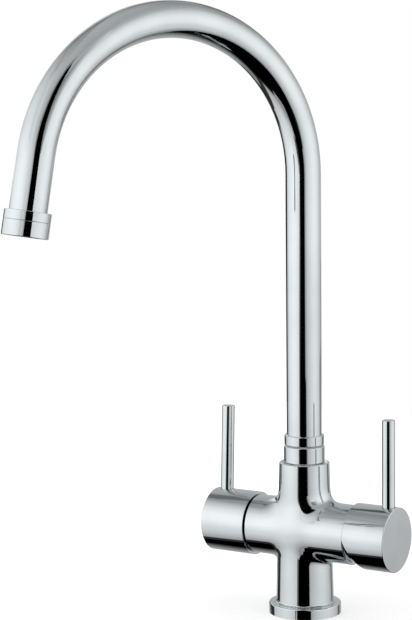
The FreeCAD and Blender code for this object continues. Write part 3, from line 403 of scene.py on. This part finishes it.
# black and grey flags: the dark lines in the plate, and nothing else
studioFlags = {
    "frontFlag": {
        "at": ("near", 0.4), "level": 0.0,
        "outline": ((-0.19, -1.0), (0.2, -1.0), (0.131, -0.122), (0.122, -0.038), (0.066, 0.01),
                    (0.05, 0.05), (0.05, 0.13), (0.042, 0.24), (0.015, 0.425), (-0.005, 0.58),
                    (-0.03, 0.62), (-0.075, 0.6), (-0.105, 0.52), (-0.118, 0.45), (-0.14, 0.37),
                    (-0.16, 0.3), (-0.158, 0.2), (-0.176, 0.12), (-0.19, 0.05))},
    "frontFlagEdge": {
        "at": ("near", 0.402), "level": 0.28,
        "outline": ((-0.168, 0.33), (-0.12, 0.38), (-0.1, 0.5), (-0.02, 0.58), (-0.02, 0.68), (-0.1, 0.67),
                    (-0.138, 0.55))},
    "leftFlag": {
        "at": ("right", -0.78), "level": 0.04,
        "outline": ((-0.56, -1.0), (0.45, -1.0), (0.42, -0.84), (-0.2, -0.82), (-0.3, -0.25),
                    (-0.45, -0.2), (-0.52, -0.1), (-0.9, -0.1), (-0.9, -0.42), (-0.62, -0.5))},
    "leftHighFlag": {
        "at": ("right", -0.78), "level": 0.3,
        "outline": ((-0.9, -0.1), (-0.54, -0.1), (-0.62, 0.0), (-0.6, 0.3), (-0.9, 0.3)),
        "up": ((-0.1, 0.1), (-0.06, 0.2), (-0.02, 0.7), (0.02, 1.0), (0.08, 1.0), (0.16, 0.3),
               (0.3, 0.1))},
    "nearLeftFlag": {
        "at": ("right", -0.78), "level": 0.55,
        "outline": ((1.25, -0.42), (2.38, -0.5), (2.38, 0.25), (1.6, 0.18), (1.42, 0.08), (1.28, -0.1)),
        "up": ((-0.5, 0.2), (-0.33, 0.2), (-0.27, 0.3), (-0.2, 0.15), (-0.09, 0.25), (-0.03, 0.38),
               (0.05, 0.7), (0.15, 1.0), (0.25, 1.0))},
    "backLeftFlag": {
        "at": ("near", -0.87), "level": 0.02,
        "outline": ((-0.79, 0.0), (-0.5, 0.0), (-0.33, -0.02), (-0.3, 0.1), (-0.34, 0.27), (-0.79, 0.27))},
    "backLowFlag": {
        "at": ("near", -0.87), "level": 0.02,
        "outline": ((-0.79, -0.3), (-0.52, -0.3), (-0.58, -0.17), (-0.79, -0.17))},
    "backMidFlag": {
        "at": ("near", -0.87), "level": 0.05,
        "outline": ((-0.48, -0.2), (-0.22, -0.2), (-0.22, -0.05), (-0.33, -0.02), (-0.48, 0.0))},
    "backEdgeFlag": {
        "at": ("near", -0.87), "level": 0.05,
        "outline": ((-0.79, -0.17), (-0.48, -0.17), (-0.48, 0.0), (-0.79, 0.0))},
    "rightEdgeFlag": {
        "at": ("right", 0.78), "level": 0.3,
        "outline": ((-0.88, -0.2), (-0.5, -0.2), (-0.5, 0.03), (-0.88, 0.03)),
        "near": ((-0.88, 0.6), (-0.6, 0.75), (-0.5, 1.0))},
    "backRightFlag": {
        "at": ("near", -0.87), "level": 0.28,
        "outline": ((0.3, 0.0), (0.6, 0.0), (0.6, 0.14), (0.3, 0.14))},
    "backRightLow": {
        "at": ("near", -0.87), "level": 0.27,
        "outline": ((0.58, -0.6), (0.79, -0.6), (0.79, -0.15), (0.58, -0.15))},
    "frontHighFlag": {
        "at": ("near", 2.38), "level": 0.02,
        "outline": ((-0.13, 0.35), (0.1, 0.35), (0.1, 0.82), (-0.1, 0.82))},
    "frontRightFlag": {
        "at": ("near", 2.38), "level": 0.01,
        "outline": ((0.28, -1.0), (0.62, -1.0), (0.6, -0.2), (0.28, -0.2))},
    "rightFlag": {
        "at": ("right", 0.78), "level": 0.14,
        "outline": ((-0.88, -1.0), (-0.62, -1.0), (-0.62, -0.24), (-0.88, -0.2))},
    "highShade": {
        "at": ("near", -0.88), "level": 0.28,
        "outline": ((0.1, 0.7), (0.45, 0.7), (0.47, 1.38), (0.05, 1.0))},
    "highFlag": {
        "at": ("near", -0.86), "level": 0.12,
        "outline": ((-0.36, 1.38), (-0.22, 1.38), (0.3, 0.62), (0.12, 0.62))},
    "ceilingFlag": {
        "at": ("up", 1.38), "level": 0.2,
        "outline": ((-0.78, -0.36), (-0.78, -0.62), (-0.46, -0.88), (-0.22, -0.88))},
}


# a card's share of light along one way
def fadeAlong(tree, place, way, stops):
    first, last = stops[0][0], stops[-1][0]
    reach = addNode(tree, "ShaderNodeVectorMath", {"operation": "DOT_PRODUCT"}, {0: place, 1: cardWays[way]})
    along = addNode(tree, "ShaderNodeMapRange", None,
                    {"Value": reach.outputs["Value"], "From Min": first, "From Max": last})
    fade = addNode(tree, "ShaderNodeValToRGB", None, {"Fac": along.outputs["Result"]})
    fade.color_ramp.interpolation = "CARDINAL"
    for at, share in stops[1:-1]:
        fade.color_ramp.elements.new((at - first) / (last - first))
    for element, (at, share) in zip(fade.color_ramp.elements, stops):
        element.color = (share, share, share, 1)
    return fade.outputs["Color"]


def cardLight(name, card):
    material, tree = newMaterial(name + "Light")
    place = addNode(tree, "ShaderNodeTexCoord").outputs["Object"]
    light = card["level"]
    for way in cardWays:
        if way in card:
            fade = fadeAlong(tree, place, way, card[way])
            light = addNode(tree, "ShaderNodeMath", {"operation": "MULTIPLY"},
                            {0: fade, 1: light}).outputs["Value"]
    glow = addNode(tree, "ShaderNodeEmission", None, {"Color": (1, 1, 1, 1), "Strength": light})
    addNode(tree, "ShaderNodeOutputMaterial", None, {"Surface": glow.outputs["Emission"]})
    return material


# a flag shows only in the plate, so that it throws no shadow on the floor
def studioCard(name, card, isFlag):
    wall, distance = card["at"]
    others = [way for way in cardWays if way != wall]
    shape = bmesh.new()
    corners = []
    for pair in card["outline"]:
        spot = {wall: distance, **dict(zip(others, pair))}
        corners.append(shape.verts.new(sum((cardWays[way] * spot[way] for way in cardWays), Vector())))
    shape.faces.new(corners)
    mesh = meshFrom(name, shape)
    mesh.materials.append(cardLight(name, card))
    board = addObject(name, mesh)
    board.visible_camera = False
    if isFlag:
        board.visible_diffuse = False
        board.visible_shadow = False


for name, card in studioCards.items():
    studioCard(name, card, False)
for name, card in studioFlags.items():
    studioCard(name, card, True)
print("studio cards:", len(studioCards), "and flags:", len(studioFlags))

floorFinish = {
    "size": 0.7, "colour": "#F4F4F4",
    "glow": (0.46, 0.64),    # by the tap, where its shadow falls, and from the far place on
    "far": (0.12, 0.40),     # metres from the tap
}


# pale floor: takes the shadow, and shows white to the camera; seen from below it is clear
def studioFloor():
    shape = bmesh.new()
    bmesh.ops.create_grid(shape, x_segments=1, y_segments=1, size=floorFinish["size"])
    mesh = meshFrom("studioFloor", shape)
    material, tree = newMaterial("paperFloor")
    path = addNode(tree, "ShaderNodeLightPath")
    paper = addNode(tree, "ShaderNodeBsdfDiffuse", None, {"Color": linearColour(floorFinish["colour"])})
    place = addNode(tree, "ShaderNodeTexCoord").outputs["Object"]
    away = addNode(tree, "ShaderNodeVectorMath", {"operation": "LENGTH"}, {0: place})
    (start, end), (faint, strong) = floorFinish["far"], floorFinish["glow"]
    white = addNode(tree, "ShaderNodeMapRange", None,
                    {"Value": away.outputs["Value"], "From Min": start, "From Max": end,
                     "To Min": faint, "To Max": strong})
    glowLevel = addNode(tree, "ShaderNodeMath", {"operation": "MULTIPLY"},
                        {0: path.outputs["Is Camera Ray"], 1: white.outputs["Result"]})
    glow = addNode(tree, "ShaderNodeEmission", None, {"Strength": glowLevel.outputs["Value"]})
    lit = addNode(tree, "ShaderNodeAddShader", None, {0: paper.outputs["BSDF"], 1: glow.outputs["Emission"]})
    clear = addNode(tree, "ShaderNodeBsdfTransparent")
    under = addNode(tree, "ShaderNodeNewGeometry").outputs["Backfacing"]
    both = addNode(tree, "ShaderNodeMixShader", None,
                   {0: under, 1: lit.outputs["Shader"], 2: clear.outputs["BSDF"]})
    addNode(tree, "ShaderNodeOutputMaterial", None, {"Surface": both.outputs["Shader"]})
    mesh.materials.append(material)
    floor = addObject("studioFloor", mesh)
    floor.visible_glossy = False


studioFloor()

worldLight = {"plain": 0.35, "seen": 1.0}


# white where it is seen, straight or in a mirror, and dimmer as light on the floor
def studioWorld():
    world = bpy.data.worlds.new("studioWorld")
    bpy.context.scene.world = world
    world.use_nodes = True
    tree = world.node_tree
    tree.nodes.clear()
    path = addNode(tree, "ShaderNodeLightPath")
    seen = path.outputs["Is Camera Ray"]
    for ray in ("Is Glossy Ray", "Is Transmission Ray"):
        seen = addNode(tree, "ShaderNodeMath", {"operation": "MAXIMUM"},
                       {0: seen, 1: path.outputs[ray]}).outputs["Value"]
    level = addNode(tree, "ShaderNodeMapRange", None,
                    {"Value": seen, "To Min": worldLight["plain"], "To Max": worldLight["seen"]})
    glow = addNode(tree, "ShaderNodeBackground", None,
                   {"Color": (1, 1, 1, 1), "Strength": level.outputs["Result"]})
    addNode(tree, "ShaderNodeOutputWorld", None, {"Surface": glow.outputs["Background"]})


studioWorld()

cameraView = {
    "place": (0.578003, -1.024647, 0.318731),
    "turn": 32.389,          # degrees to the left of straight back
    "tip": -6.150,
    "roll": -0.590,
    "lens": 110.32,          # mm
    "frame": 36,             # mm
}


def addCamera():
    turn, tip, roll = (math.radians(cameraView[key]) for key in ("turn", "tip", "roll"))
    ahead = Vector((-math.sin(turn) * math.cos(tip), math.cos(turn) * math.cos(tip), math.sin(tip)))
    level = Vector((math.cos(turn), math.sin(turn), 0))
    side = math.cos(roll) * level + math.sin(roll) * level.cross(ahead)
    axes = Matrix((side, side.cross(ahead), -ahead)).transposed()
    lens = bpy.data.cameras.new("photoCamera")
    lens.sensor_width = cameraView["frame"]
    lens.lens = cameraView["lens"]
    camera = addObject("photoCamera", lens)
    camera.matrix_world = Matrix.Translation(cameraView["place"]) @ axes.to_4x4()
    bpy.context.scene.camera = camera


addCamera()
bpy.context.scene.view_settings.view_transform = "Standard"
print("camera and light set")
